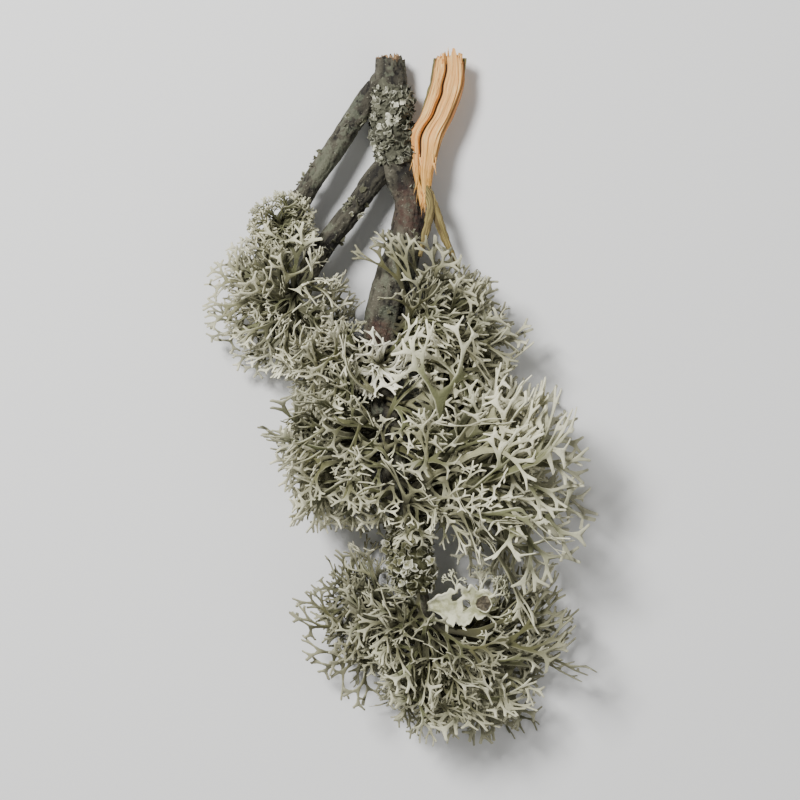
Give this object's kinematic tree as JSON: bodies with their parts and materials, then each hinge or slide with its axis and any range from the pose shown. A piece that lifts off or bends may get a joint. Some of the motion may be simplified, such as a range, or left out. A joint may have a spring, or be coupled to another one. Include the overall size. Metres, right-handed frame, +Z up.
{
  "type": "lichen on a twig",
  "caption": "Broken forked twig lying on its side, its torn end showing orange wood, overgrown with tufts of forked, strap-like pale grey-green lichen and two rough crusts.",
  "frame": {"origin": "under the middle of the twig's outline seen from above, on the surface that it lies on", "axes": "+Y along the twig towards its torn end, +Z up, away from the surface, +X to the right seen from above"},
  "size_m": [0.1063, 0.189, 0.031],
  "materials": {
    "bark": "rough grey-brown bark with fine cracks and small pale specks",
    "wood": "raw torn wood, orange-tan, with long fibres and a dark groove",
    "crust": "matt grey-green crust of small frilled lobes with pale rims",
    "cup_lobe": "matt pale grey-green lobe with a brown cup",
    "lichen": "matt pale grey-green straps, ivory at the tips and darker at the foot"
  },
  "bodies": {
    "root": {"main_stem": "bark", "outer_stem": "bark", "inner_stem": "bark", "torn_wood": "wood", "upper_crust": "crust", "lower_crust": "crust", "cup_lobe": "cup_lobe", "outer_tuft": "lichen", "white_tuft": "lichen", "right_fan": "lichen", "upper_right_tuft": "lichen", "inner_tuft": "lichen", "left_tuft": "lichen", "lower_left_tuft": "lichen", "middle_right_tuft": "lichen", "lower_right_tuft": "lichen", "bottom_left_tuft": "lichen", "end_tuft": "lichen"}
  },
  "joints": []
}
